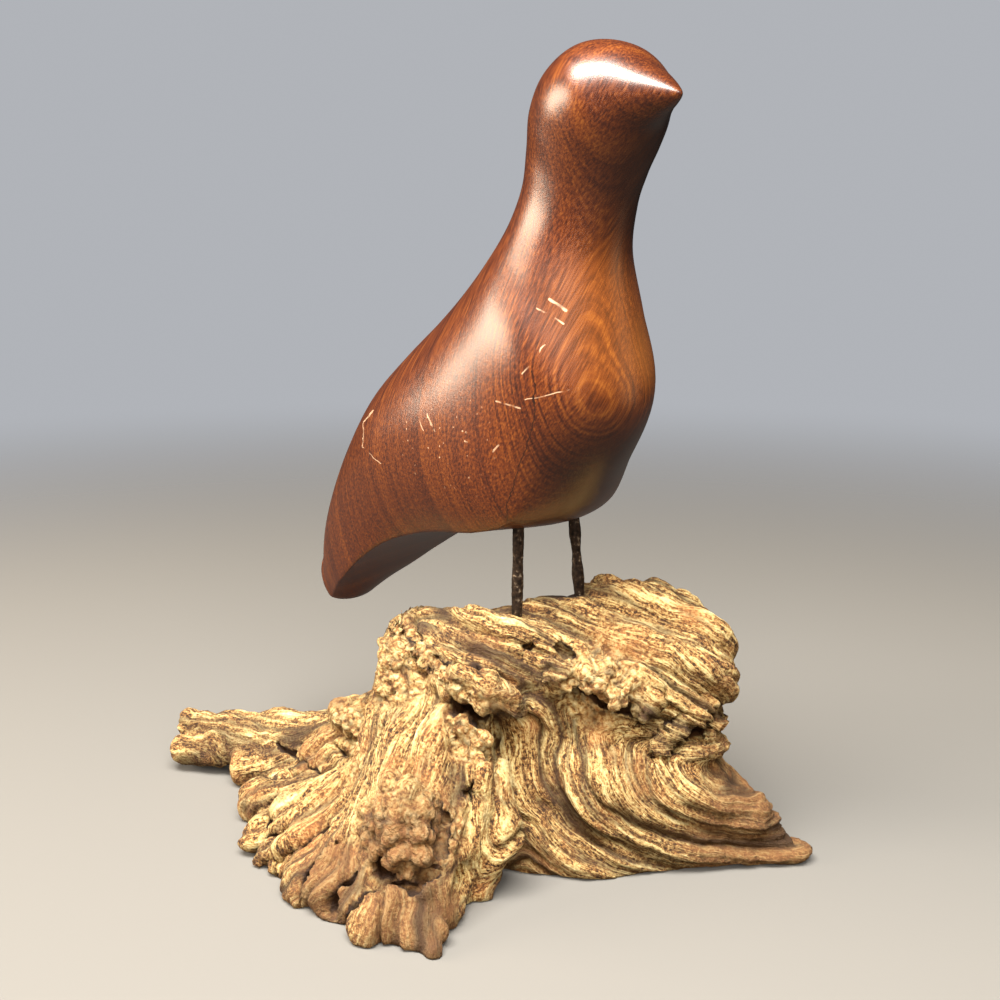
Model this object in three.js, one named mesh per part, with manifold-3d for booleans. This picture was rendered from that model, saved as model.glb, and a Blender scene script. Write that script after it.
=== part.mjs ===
// A carved wooden bird on two thin rod legs, set in a weathered root burl.
// Millimetres, +Z up. The bird faces +X and its left side is +Y.

import * as THREE from 'three';
import Module from 'manifold-3d';
import { mergeVertices } from 'three/addons/utils/BufferGeometryUtils.js';

const { degToRad, lerp, clamp } = THREE.MathUtils;

// Carved bird: each station of the body is a plane cut across it. It has the point where the cut
// meets the line of the back, the point where it meets the line of the breast and belly, the
// half width, where along the cut it is widest, and how flat the underside is there.
const BIRD_STATIONS = [
  { back: [-103, 79], front: [-97.5, 58.5], half: 11.5, edge: 9.5, widest: 0.46, flat: 0.5 },
  { back: [-97.5, 94], front: [-86, 69], half: 16.3, edge: 14.8, widest: 0.46, flat: 0.9 },
  { back: [-89, 109], front: [-71.5, 80], half: 20.8, edge: 18.6, widest: 0.46, flat: 1 },
  { back: [-77.3, 125.5], front: [-54, 90], half: 25.2, edge: 20.5, widest: 0.47, flat: 1 },
  { back: [-64, 141], front: [-35, 96.4], half: 29, edge: 21, widest: 0.48, flat: 1 },
  { back: [-49, 153.5], front: [-12, 100.3], half: 31, edge: 21.5, widest: 0.49, flat: 1 },
  { back: [-36, 163.5], front: [7, 104], half: 31, edge: 21, widest: 0.5, flat: 0.6 },
  { back: [-25, 173], front: [19, 117], half: 29.3, edge: 20, widest: 0.5, flat: 0.2 },
  { back: [-16, 182.5], front: [30.5, 137], half: 26.5, edge: 18, widest: 0.5, flat: 0 },
  { back: [-9.3, 192.5], front: [28, 158.5], half: 20.6, edge: 14.5, widest: 0.5, flat: 0 },
  { back: [-5, 203], front: [24.7, 178], half: 16.6, edge: 12, widest: 0.5, flat: 0 },
  { back: [-3.5, 213], front: [26.5, 192.5], half: 16.2, edge: 11.5, widest: 0.5, flat: 0 },
  { back: [-1.3, 223.5], front: [29.2, 201], half: 17.8, edge: 12.5, widest: 0.5, flat: 0 },
  { back: [5.5, 232.7], front: [31.4, 206.5], half: 19.2, edge: 13.5, widest: 0.5, flat: 0 },
  { back: [16, 238.2], front: [33, 210.6], half: 18.3, edge: 13, widest: 0.5, flat: 0 },
  { back: [27.5, 236.8], front: [35, 214.3], half: 14, edge: 10, widest: 0.5, flat: 0 },
  { back: [36.5, 230.8], front: [39.5, 218], half: 8, edge: 5.5, widest: 0.5, flat: 0 },
];
const TAIL_TIP = [-105.5, 65];
const BILL_TIP = [46.5, 223];
const TAIL_CAP_RINGS = 6;
const BILL_CAP_RINGS = 4;
const BILL_BLUNTNESS = 1.4;
const BILL_TAPER = 1.1;
const RINGS_PER_STATION = 2;
const SIDE_STEPS = 24;
const UNDERSIDE_STEPS = 8;

function through(values, t) {
  // A smooth curve through a row of evenly spaced values, and its value at t of them.
  const last = values.length - 1;
  const i = clamp(Math.floor(t), 0, last - 1);
  const u = t - i;
  const a = values[Math.max(i - 1, 0)];
  const b = values[i];
  const c = values[i + 1];
  const d = values[Math.min(i + 2, last)];
  const slopeB = i > 0 ? (c - a) / 2 : c - b;
  const slopeC = i + 2 <= last ? (d - b) / 2 : c - b;
  const u2 = u * u;
  const u3 = u2 * u;
  return (2 * u3 - 3 * u2 + 1) * b + (u3 - 2 * u2 + u) * slopeB
    + (3 * u2 - 2 * u3) * c + (u3 - u2) * slopeC;
}

function birdSection(t) {
  const value = (pick) => through(BIRD_STATIONS.map(pick), t);
  return {
    back: new THREE.Vector2(value((s) => s.back[0]), value((s) => s.back[1])),
    front: new THREE.Vector2(value((s) => s.front[0]), value((s) => s.front[1])),
    half: value((s) => s.half),
    edge: value((s) => s.edge),
    widest: value((s) => s.widest),
    flat: clamp(value((s) => s.flat), 0, 1),
  };
}

function birdRing(section) {
  // Points round one cut, from the left lower edge over the back to the right one, then across
  // the underside.
  const { back, front, half, edge, widest, flat } = section;
  const up = back.clone().sub(front);
  const height = up.length();
  up.normalize();
  const middle = front.clone().lerp(back, widest);
  const rise = height * (1 - widest);
  const drop = height * widest;
  const edgeAngle = Math.acos(edge / half);
  const sideDrop = lerp(drop, drop / Math.sin(edgeAngle), flat);
  const edgeLevel = sideDrop * Math.sin(edgeAngle);
  const ring = [];
  const put = (y, level) => ring.push(new THREE.Vector3(
    middle.x + up.x * level, y, middle.y + up.y * level));
  for (let i = 0; i <= SIDE_STEPS; i += 1) {
    const angle = lerp(-edgeAngle, Math.PI + edgeAngle, i / SIDE_STEPS);
    const reach = Math.sin(angle) > 0 ? rise : sideDrop;
    put(half * Math.cos(angle), reach * Math.sin(angle));
  }
  for (let i = 1; i < UNDERSIDE_STEPS; i += 1) {
    const angle = lerp(Math.PI - edgeAngle, edgeAngle, i / UNDERSIDE_STEPS);
    const share = (Math.sin(angle) - Math.sin(edgeAngle)) / (1 - Math.sin(edgeAngle));
    put(half * Math.cos(angle), -lerp(edgeLevel, drop, share));
  }
  return ring;
}

function capRings(ring, tip, count, shape) {
  // Rings that close one end, shrinking to a point at the tip. The shape gives how far along and
  // how wide each ring is.
  const middle = new THREE.Vector3();
  ring.forEach((p) => middle.add(p));
  middle.divideScalar(ring.length);
  const pole = new THREE.Vector3(tip[0], 0, tip[1]);
  const rings = [];
  for (let j = 1; j < count; j += 1) {
    const [along, width] = shape(j / count);
    const centre = middle.clone().lerp(pole, along);
    rings.push(ring.map((p) => p.clone().sub(middle).multiplyScalar(width).add(centre)));
  }
  return { rings, pole };
}

const roundEnd = (t) => [Math.sin(t * Math.PI / 2), Math.cos(t * Math.PI / 2)];
const pointedEnd = (t) => [1 - (1 - t) ** BILL_BLUNTNESS, (1 - t) ** BILL_TAPER];

function skin(rings, startPole, endPole) {
  // A closed skin over a row of rings, with a point at each end.
  const around = rings[0].length;
  const points = [startPole, ...rings.flat(), endPole];
  const index = [];
  const at = (ring, i) => 1 + ring * around + (i % around);
  for (let i = 0; i < around; i += 1) {
    index.push(0, at(0, i + 1), at(0, i));
    index.push(points.length - 1, at(rings.length - 1, i), at(rings.length - 1, i + 1));
  }
  for (let r = 0; r + 1 < rings.length; r += 1) {
    for (let i = 0; i < around; i += 1) {
      index.push(at(r, i), at(r + 1, i + 1), at(r + 1, i));
      index.push(at(r, i), at(r, i + 1), at(r + 1, i + 1));
    }
  }
  const geometry = new THREE.BufferGeometry();
  geometry.setAttribute('position', new THREE.Float32BufferAttribute(
    points.flatMap((p) => [p.x, p.y, p.z]), 3));
  geometry.setIndex(index);
  return geometry;
}

function birdGeometry() {
  const count = (BIRD_STATIONS.length - 1) * RINGS_PER_STATION;
  const rings = [];
  for (let i = 0; i <= count; i += 1) {
    rings.push(birdRing(birdSection(i / RINGS_PER_STATION)));
  }
  const tail = capRings(rings[0], TAIL_TIP, TAIL_CAP_RINGS, roundEnd);
  const bill = capRings(rings[count], BILL_TIP, BILL_CAP_RINGS, pointedEnd);
  const all = [...tail.rings.reverse(), ...rings, ...bill.rings];
  return skin(all, tail.pole, bill.pole);
}

// Leg rods: slightly uneven metal rods. Each has its foot in the root and its top in the bird.
const ROD_RADIUS = 1.65;
const ROD_SIDES = 8;
const ROD_STEPS = 9;
const ROD_SWELL_TURNS = 17;
const SOCKET_GAP = 0.3;
const RODS = [
  { name: 'near_leg_rod', foot: [-0.9, -13, 66], top: [0, -13, 109], knobs: 0.1, phase: 0.4 },
  { name: 'far_leg_rod', foot: [0.8, 13, 70], top: [-3.6, 13, 109], knobs: 0.28, phase: 2.1 },
];

function rodGeometry(rod, gap) {
  // The rod itself without a gap, or the socket round it with one.
  const foot = new THREE.Vector3(...rod.foot);
  const top = new THREE.Vector3(...rod.top);
  foot.z -= gap;
  top.z += gap;
  const rings = [];
  for (let i = 0; i <= ROD_STEPS; i += 1) {
    const t = i / ROD_STEPS;
    const centre = foot.clone().lerp(top, t);
    const wave = Math.sin(t * ROD_SWELL_TURNS + rod.phase);
    const swell = rod.knobs * wave * Math.sin(t * Math.PI);
    const radius = ROD_RADIUS + gap + swell;
    const ring = [];
    for (let k = 0; k < ROD_SIDES; k += 1) {
      const angle = (k / ROD_SIDES) * Math.PI * 2;
      ring.push(new THREE.Vector3(Math.cos(angle) * radius, Math.sin(angle) * radius, 0).add(centre));
    }
    rings.push(ring);
  }
  return skin(rings, foot.clone(), top.clone());
}

// Root burl, laid out from its show side: x to the right, y away from the viewer, z up, from the
// middle between the two rods. Each lobe is a row of balls joined by tapering rods.
const SHOW_TURN = degToRad(47);
const BLOCKS = [
  { name: 'trunk', centre: [1.5, 7, 40], half: [49.5, 23, 30], round: 12, rise: 0.03 },
  { name: 'skirt', centre: [2, 9, 14], half: [49, 29, 22], round: 14, rise: 0 },
];
const LOBES = [
  { name: 'crown', path: [[-13, -5, 63.5, 13], [10, 8, 64, 15], [30, 9, 66, 14.5], [42, 8, 60, 13]] },
  { name: 'left crown', path: [[-38, 8, 60, 11], [-24, -2, 61, 12]] },
  { name: 'right cheek', path: [[44, 2, 62, 9], [45, 0, 56, 10.5]] },
  { name: 'buttress', path: [[-33, -2, 46, 19.5], [-38, -32, 17, 18], [-40, -48, 8, 14]] },
  { name: 'toe', path: [[-50, -56, 4, 7], [-44, -50, 6, 11], [-37, -62, 3, 7], [-33.5, -68.5, 1.5, 3.2]] },
  { name: 'wart mound', path: [[-38, -41, 22, 12]] },
  { name: 'drape', path: [[-22, -26, 34, 8], [-19, -32, 17, 7]] },
  { name: 'right drape toe', path: [[-20, -30, 16, 7], [-19, -35, 3, 5.5]] },
  { name: 'left drape toe', path: [[-27, -30, 16, 8], [-28, -37, 3, 4.5]] },
  { name: 'left shoulder', path: [[-42, 14, 24, 20], [-66, 24, 13, 14.5]] },
  { name: 'shoulder knob', path: [[-52, 14, 36, 7], [-62.5, 18, 34, 5]] },
  { name: 'left foot', path: [[-48, -12, 13, 20], [-70, -14, 6, 14]] },
  { name: 'front left lobe', path: [[-48, -30, 8, 15], [-57, -44, 4, 9]] },
  { name: 'left lobe', path: [[-60, -28, 6, 13], [-70, -36, 4, 8]] },
  { name: 'flap', path: [[-70, -16, 5, 10], [-82, -18, 2, 5]] },
  { name: 'finger', path: [[-70, -2, 11, 6], [-92, -8, 4, 3.2]] },
  { name: 'knob', path: [[-72, 12, 9, 9], [-87, 14, 7, 7], [-93, 16, 5, 6.5]] },
  { name: 'leaf lobe', path: [[-74, 36, 9, 12], [-98, 46, 6, 7.5]] },
  { name: 'branch', path: [[-58, 34, 17.5, 13], [-92, 50, 14.5, 8], [-112, 57, 13, 6.5]] },
  { name: 'upper prong', path: [[-108, 56, 15.5, 5], [-125, 61, 15.5, 3.4]] },
  { name: 'lower prong', path: [[-108, 54, 9, 5], [-125, 56, 6.5, 3.4]] },
  { name: 'log', path: [[-30, -19, 60, 4.5], [-12, -19, 52, 4]] },
  { name: 'first knuckle', path: [[2, -14, 61, 6]] },
  { name: 'second knuckle', path: [[14, -14, 59, 5.5]] },
  { name: 'third knuckle', path: [[23, -14, 54, 5.5]] },
  { name: 'flare', path: [[14, -5, 24, 20], [43, -5, 16, 16], [58, -9, 9, 10], [73, -12, 3, 3.8]] },
  { name: 'foot of the flare', path: [[-2, -11, 5, 13], [17, -14, 4, 11.5], [48, -8, 3, 10]] },
];
const HOLLOWS = [
  { name: 'notch', path: [[-12, -38, -4, 5], [-12, -27, 10, 4], [-13, -24, 30, 3]] },
  { name: 'dark hollow in the mound', path: [[-48, -55, 16, 5.5], [-44, -46, 17, 3]] },
  { name: 'hollow under the log', path: [[-30, -27, 54.5, 3], [-16, -24, 50, 3]] },
  { name: 'hollow beside the drape', path: [[-15.5, -26, 46.5, 3.5], [-17, -29, 38, 4]] },
  { name: 'slit in the flare', path: [[50, -17, 47, 4], [30, -22, 36, 3]] },
  { name: 'undercut at the right', path: [[60, -12, 47, 5], [50, -16, 47, 4]] },
  { name: 'gap under the mound', path: [[-24, -56, 10, 5], [-25, -46, 12, 4]] },
  { name: 'gap beside the finger', path: [[-92, -2, 4, 3], [-76, 6, 6, 3]] },
  { name: 'gap under the branch', path: [[-128, 58, -3, 6], [-92, 44, -4, 6]] },
];
const FLARE_EYE = [78, 36];
const FLARE_SQUASH = 1.9;
const FLARE_SPREAD = 0.5;
const FLARE_START = 2;
const FAN_EYE = [-22, 14];
const FAN_SPREAD = 48;
const FAN_START = 134;
const FAN_SINK = 0.2;
const SLAB_ACROSS = [0.42, 0.45, 0.79];
const SLAB_SPREAD = 2;
const SLAB_FOOT = 54;
const SLAB_LEAN = 0.25;
const SLAB_TURNS_DOWN = [42, 58];
const FAN_MEETS_SLAB = [-24, -6];
const FLUTE_PITCH = 13;
const FLUTE_DEPTH = 1.7;
const NARROW_FLUTES = 0.6;
const BROAD_FLUTES = 0.4;
const BROAD_FLUTE_PACE = 0.43;
const FLUTES_FADE = [5, 18];
const LOBE_BLEND = 7;
const SMALL_LOBE_BLEND = 0.7;
const HOLLOW_BLEND = 3;
const CELL = 4.4;
const FILLED = 0.2;
const SETTLE_PASSES = 3;
const SLOPE_STEP = 0.2;
const LEAST_SLOPE = 0.25;
const LONGEST_MOVE = CELL / 4;
const FIELD_LOW = [-136, -84, -18];
const FIELD_HIGH = [86, 76, 92];
const ABOVE_THE_TABLE = [600, 600, 200];
const WELD = 1e-4;

function blend(a, b, k) {
  // The smaller of two distances, with the corner between them filled over a width of k.
  const h = Math.max(k - Math.abs(a - b), 0) / k;
  return Math.min(a, b) - h * h * k / 4;
}

function toPath(path, x, y, z) {
  // Distance to a row of balls joined by tapering rods.
  let best = Math.hypot(x - path[0][0], y - path[0][1], z - path[0][2]) - path[0][3];
  for (let i = 0; i + 1 < path.length; i += 1) {
    const [ax, ay, az, ar] = path[i];
    const [bx, by, bz, br] = path[i + 1];
    const dx = bx - ax;
    const dy = by - ay;
    const dz = bz - az;
    const along = ((x - ax) * dx + (y - ay) * dy + (z - az) * dz) / (dx * dx + dy * dy + dz * dz);
    const t = clamp(along, 0, 1);
    const gap = Math.hypot(x - ax - t * dx, y - ay - t * dy, z - az - t * dz);
    best = Math.min(best, gap - lerp(ar, br, t));
  }
  return best;
}

function toBlock(block, x, y, z) {
  const { centre, half, round, rise } = block;
  const qx = Math.abs(x - centre[0]) - half[0] + round;
  const qy = Math.abs(y - centre[1]) - half[1] + round;
  const qz = Math.abs(z - centre[2] - rise * x) - half[2] + round;
  const outside = Math.hypot(Math.max(qx, 0), Math.max(qy, 0), Math.max(qz, 0));
  return outside + Math.min(Math.max(qx, qy, qz), 0) - round;
}

function share(value, low, high) {
  // 0 below low, 1 above high and smooth between them.
  return THREE.MathUtils.smoothstep(value, low, high);
}

function grain(x, y, z) {
  // How far across the grain a point lies. The lines of equal value are the flutes.
  const slab = SLAB_ACROSS[0] * x + SLAB_ACROSS[1] * y + SLAB_ACROSS[2] * z;
  const below = FLARE_SQUASH * Math.max(FLARE_EYE[1] - z, 0);
  const sweep = FLARE_START + FLARE_SPREAD * Math.hypot(FLARE_EYE[0] - x, below);
  const fan = FAN_START - FAN_SINK * z
    - FAN_SPREAD * Math.abs(Math.atan2(y - FAN_EYE[1], FAN_EYE[0] - x));
  const low = 1 - share(z + SLAB_LEAN * x, ...SLAB_TURNS_DOWN);
  const right = share(x + SLAB_SPREAD * Math.max(z - SLAB_FOOT, 0), ...FAN_MEETS_SLAB);
  return lerp(fan, lerp(slab, sweep, low), right);
}

function rootField(x, y, z) {
  // Distance to the root's surface, negative inside the wood.
  let d = Infinity;
  for (const block of BLOCKS) {
    d = blend(d, toBlock(block, x, y, z), LOBE_BLEND);
  }
  for (const lobe of LOBES) {
    const thinnest = Math.min(...lobe.path.map((ball) => ball[3]));
    d = blend(d, toPath(lobe.path, x, y, z), Math.min(LOBE_BLEND, SMALL_LOBE_BLEND * thinnest));
  }
  // The flutes fade out near the axis of the fan, where their lines crowd.
  const clear = share(Math.hypot(x - FAN_EYE[0], y - FAN_EYE[1]), ...FLUTES_FADE);
  const phase = grain(x, y, z) * 2 * Math.PI / FLUTE_PITCH;
  const flute = NARROW_FLUTES * Math.sin(phase)
    + BROAD_FLUTES * Math.sin(BROAD_FLUTE_PACE * phase);
  d += clear * FLUTE_DEPTH * flute;
  for (const hollow of HOLLOWS) {
    d = -blend(-d, toPath(hollow.path, x, y, z), HOLLOW_BLEND);
  }
  return d;
}

function sampleField() {
  const size = FIELD_LOW.map((low, i) => Math.ceil((FIELD_HIGH[i] - low) / CELL) + 1);
  const values = new Float64Array(size[0] * size[1] * size[2]);
  let n = 0;
  for (let k = 0; k < size[2]; k += 1) {
    for (let j = 0; j < size[1]; j += 1) {
      for (let i = 0; i < size[0]; i += 1) {
        values[n] = rootField(FIELD_LOW[0] + i * CELL, FIELD_LOW[1] + j * CELL,
          FIELD_LOW[2] + k * CELL);
        n += 1;
      }
    }
  }
  return { size, values };
}

const CORNERS = [0, 1, 2, 3, 4, 5, 6, 7].map((c) => [c & 1, (c >> 1) & 1, (c >> 2) & 1]);

function pieces(inside, wanted) {
  // How many separate groups the wanted corners of a cell make along its edges.
  const seen = new Set();
  let groups = 0;
  for (let start = 0; start < 8; start += 1) {
    if (inside[start] === wanted && !seen.has(start)) {
      groups += 1;
      const queue = [start];
      seen.add(start);
      while (queue.length > 0) {
        const corner = queue.pop();
        for (const bit of [1, 2, 4]) {
          const next = corner ^ bit;
          if (inside[next] === wanted && !seen.has(next)) {
            seen.add(next);
            queue.push(next);
          }
        }
      }
    }
  }
  return groups;
}

function settleField({ size, values }) {
  // Where the skin would touch itself inside one cell, the empty corner nearest to it is filled.
  const at = (i, j, k) => (k * size[1] + j) * size[0] + i;
  for (let filled = true; filled;) {
    filled = false;
    for (let k = 0; k + 1 < size[2]; k += 1) {
      for (let j = 0; j + 1 < size[1]; j += 1) {
        for (let i = 0; i + 1 < size[0]; i += 1) {
          const corners = CORNERS.map(([a, b, c]) => at(i + a, j + b, k + c));
          const inside = corners.map((n) => values[n] < 0);
          if (pieces(inside, true) > 1 || pieces(inside, false) > 1) {
            const empty = corners.filter((n) => values[n] >= 0);
            const nearest = empty.reduce((m, n) => (values[n] < values[m] ? n : m));
            values[nearest] = -FILLED;
            filled = true;
          }
        }
      }
    }
  }
}

function ontoSurface(point) {
  // Moves a point along the slope of the field until it lies on the surface.
  for (let pass = 0; pass < SETTLE_PASSES; pass += 1) {
    const value = rootField(...point);
    const slope = [0, 1, 2].map((axis) => {
      const beside = [...point];
      beside[axis] += SLOPE_STEP;
      return (rootField(...beside) - value) / SLOPE_STEP;
    });
    const steep = slope[0] ** 2 + slope[1] ** 2 + slope[2] ** 2;
    const move = clamp(value / Math.max(steep, LEAST_SLOPE), -LONGEST_MOVE, LONGEST_MOVE);
    slope.forEach((part, axis) => {
      point[axis] -= move * part;
    });
  }
  return point;
}

function rootGeometry() {
  // The root's surface over a grid of cells: one point for each cell that the surface crosses, and
  // one four-sided face, cut into two, for each edge of a cell that it crosses.
  const field = sampleField();
  settleField(field);
  const { size, values } = field;
  const at = (i, j, k) => (k * size[1] + j) * size[0] + i;
  const points = [];
  const pointOf = new Map();
  for (let k = 0; k + 1 < size[2]; k += 1) {
    for (let j = 0; j + 1 < size[1]; j += 1) {
      for (let i = 0; i + 1 < size[0]; i += 1) {
        const sum = [0, 0, 0];
        let crossings = 0;
        CORNERS.forEach((corner, c) => {
          [0, 1, 2].forEach((axis) => {
            if (corner[axis] === 0) {
              const other = CORNERS[c | (1 << axis)];
              const a = values[at(i + corner[0], j + corner[1], k + corner[2])];
              const b = values[at(i + other[0], j + other[1], k + other[2])];
              if ((a < 0) !== (b < 0)) {
                const t = a / (a - b);
                crossings += 1;
                [0, 1, 2].forEach((m) => {
                  sum[m] += lerp(corner[m], other[m], t);
                });
              }
            }
          });
        });
        if (crossings > 0) {
          pointOf.set(at(i, j, k), points.length / 3);
          points.push(...ontoSurface(
            [i, j, k].map((n, m) => FIELD_LOW[m] + (n + sum[m] / crossings) * CELL)));
        }
      }
    }
  }
  const index = [];
  const step = [[1, 0, 0], [0, 1, 0], [0, 0, 1]];
  for (let k = 1; k + 1 < size[2]; k += 1) {
    for (let j = 1; j + 1 < size[1]; j += 1) {
      for (let i = 1; i + 1 < size[0]; i += 1) {
        for (let axis = 0; axis < 3; axis += 1) {
          const here = values[at(i, j, k)] < 0;
          const next = values[at(...step[axis].map((s, m) => s + [i, j, k][m]))] < 0;
          if (here !== next) {
            const u = step[(axis + 1) % 3];
            const v = step[(axis + 2) % 3];
            const quad = [[0, 0], [1, 0], [1, 1], [0, 1]].map(([a, b]) => pointOf.get(
              at(i - a * u[0] - b * v[0], j - a * u[1] - b * v[1], k - a * u[2] - b * v[2])));
            if (!here) {
              quad.reverse();
            }
            const across = [0, 1].map((n) => Math.hypot(...[0, 1, 2].map((m) => (
              points[quad[n] * 3 + m] - points[quad[n + 2] * 3 + m]))));
            const [p, q, r, t] = across[0] < across[1] ? quad : [...quad.slice(1), quad[0]];
            index.push(p, q, r, p, r, t);
          }
        }
      }
    }
  }
  const geometry = new THREE.BufferGeometry();
  geometry.setAttribute('position', new THREE.Float32BufferAttribute(points, 3));
  geometry.setIndex(index);
  return geometry;
}

const wasm = await Module();
wasm.setup();

function toSolid(geometry) {
  const bare = new THREE.BufferGeometry();
  bare.setAttribute('position', geometry.getAttribute('position').clone());
  bare.setIndex(geometry.index ? geometry.index.clone() : null);
  const merged = mergeVertices(bare, WELD);
  return new wasm.Manifold(new wasm.Mesh({
    numProp: 3,
    vertProperties: new Float32Array(merged.getAttribute('position').array),
    triVerts: new Uint32Array(merged.index.array),
  }));
}

function toGeometry(solid) {
  const mesh = solid.getMesh();
  const geometry = new THREE.BufferGeometry();
  geometry.setAttribute('position', new THREE.Float32BufferAttribute(mesh.vertProperties, 3));
  geometry.setIndex(new THREE.BufferAttribute(mesh.triVerts, 1));
  return geometry;
}

function aboveFloor(geometry) {
  const room = new THREE.BoxGeometry(...ABOVE_THE_TABLE).translate(0, 0, ABOVE_THE_TABLE[2] / 2);
  return toSolid(geometry).intersect(toSolid(room));
}

function piece(name, geometry, material) {
  geometry.computeVertexNormals();
  const mesh = new THREE.Mesh(geometry, new THREE.MeshStandardMaterial(material));
  mesh.name = name;
  return mesh;
}

const sockets = RODS.map((rod) => toSolid(rodGeometry(rod, SOCKET_GAP)));
const bird = sockets.reduce((solid, socket) => solid.subtract(socket), toSolid(birdGeometry()));
const root = sockets.reduce((solid, socket) => solid.subtract(socket),
  aboveFloor(rootGeometry().rotateZ(SHOW_TURN)));

// The origin is under the middle of the whole, not between the rods.
const FOOTPRINT_MIDDLE = [-35.6, -11.6];

const object = new THREE.Group();
object.position.set(-FOOTPRINT_MIDDLE[0], -FOOTPRINT_MIDDLE[1], 0);
object.add(piece('bird', toGeometry(bird), { color: '#6b2f1a', roughness: 0.25, metalness: 0 }));
RODS.forEach((rod) => {
  object.add(piece(rod.name, rodGeometry(rod, 0), { color: '#2a221c', roughness: 0.6, metalness: 0.8 }));
});
object.add(piece('root_base', toGeometry(root), { color: '#a8804e', roughness: 0.9, metalness: 0 }));

export default object;
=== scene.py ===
"""A carved wooden bird, polished, on two thin metal rods above a weathered root burl.

Every shape is worked out in millimetres from the middle between the two rods, +Z up, and then
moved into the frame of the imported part. The bird faces +X. The root is laid out as it is seen
from its show side: x to the right, y away from the viewer.
"""
import math
import bpy
import numpy as np
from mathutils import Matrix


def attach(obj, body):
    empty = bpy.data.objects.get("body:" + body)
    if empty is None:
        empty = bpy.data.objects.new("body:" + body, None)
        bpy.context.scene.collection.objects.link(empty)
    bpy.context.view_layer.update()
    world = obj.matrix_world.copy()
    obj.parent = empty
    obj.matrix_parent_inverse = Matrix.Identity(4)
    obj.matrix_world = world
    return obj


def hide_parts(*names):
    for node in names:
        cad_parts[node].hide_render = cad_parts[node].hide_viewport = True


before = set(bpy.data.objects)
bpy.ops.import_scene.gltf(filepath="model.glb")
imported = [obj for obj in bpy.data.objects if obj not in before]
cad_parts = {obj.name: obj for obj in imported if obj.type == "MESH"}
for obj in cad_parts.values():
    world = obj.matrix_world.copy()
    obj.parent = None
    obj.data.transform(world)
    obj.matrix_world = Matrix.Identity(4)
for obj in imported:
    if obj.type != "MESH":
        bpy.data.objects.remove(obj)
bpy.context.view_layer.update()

MM = 0.001
FOOTPRINT_MIDDLE = np.array([-35.6, -11.6, 0.0])
SHOW_TURN = math.radians(47)


def to_part(points):
    """Millimetres from between the rods, turned to metres in the frame of the part."""
    return (np.asarray(points, float) - FOOTPRINT_MIDDLE) * MM


def from_show(points):
    """Points laid out from the show side, turned to the bird's own directions."""
    x, y, z = np.moveaxis(np.asarray(points, float), -1, 0)
    cosine, sine = math.cos(SHOW_TURN), math.sin(SHOW_TURN)
    return np.stack([x * cosine - y * sine, x * sine + y * cosine, z], axis=-1)


# Noise that is the same on every run

HASH_FACTORS = (73856093, 19349663, 83492791)
HASH_MIX = 1274126177
HASH_RANGE = 2 ** 24
CORNERS = np.array([[c & 1, (c >> 1) & 1, (c >> 2) & 1] for c in range(8)])


def lattice(cells, seed):
    """A fixed number from 0 to 1 for each whole-number cell."""
    i, j, k = np.moveaxis(cells.astype(np.int64), -1, 0)
    h = i * HASH_FACTORS[0] ^ j * HASH_FACTORS[1] ^ k * HASH_FACTORS[2] ^ (seed + 1) * HASH_MIX
    h = (h ^ (h >> 13)) * HASH_MIX & 0x7FFFFFFF
    h = (h ^ (h >> 15)) * HASH_MIX & 0x7FFFFFFF
    return (h >> 4) % HASH_RANGE / HASH_RANGE


def noise(points, width, seed):
    """Smooth noise from -1 to 1 whose bumps are about width millimetres across."""
    p = points / width
    base = np.floor(p)
    f = p - base
    f = f * f * (3 - 2 * f)
    total = np.zeros(len(points))
    for corner in CORNERS:
        weight = np.prod(np.where(corner, f, 1 - f), axis=1)
        total += weight * lattice(base + corner, seed)
    return total * 2 - 1


def lumps(points, width, seed):
    """Round lumps about width millimetres across: 1 on top of a lump, 0 in the gaps between."""
    p = points / width
    base = np.floor(p)
    nearest = np.full(len(points), 9.0)
    second = np.full(len(points), 9.0)
    steps = (-1, 0, 1)
    for di in steps:
        for dj in steps:
            for dk in steps:
                cell = base + (di, dj, dk)
                middle = cell + np.stack([lattice(cell, seed + n) for n in (0, 1, 2)], axis=1)
                gap = np.linalg.norm(p - middle, axis=1)
                second = np.minimum(second, np.maximum(nearest, gap))
                nearest = np.minimum(nearest, gap)
    return np.clip((second - nearest) * 1.6, 0, 1) ** 0.5


def smooth_step(value, low, high):
    t = np.clip((value - low) / (high - low), 0, 1)
    return t * t * (3 - 2 * t)


# Bird: a loft through plane cuts

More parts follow.
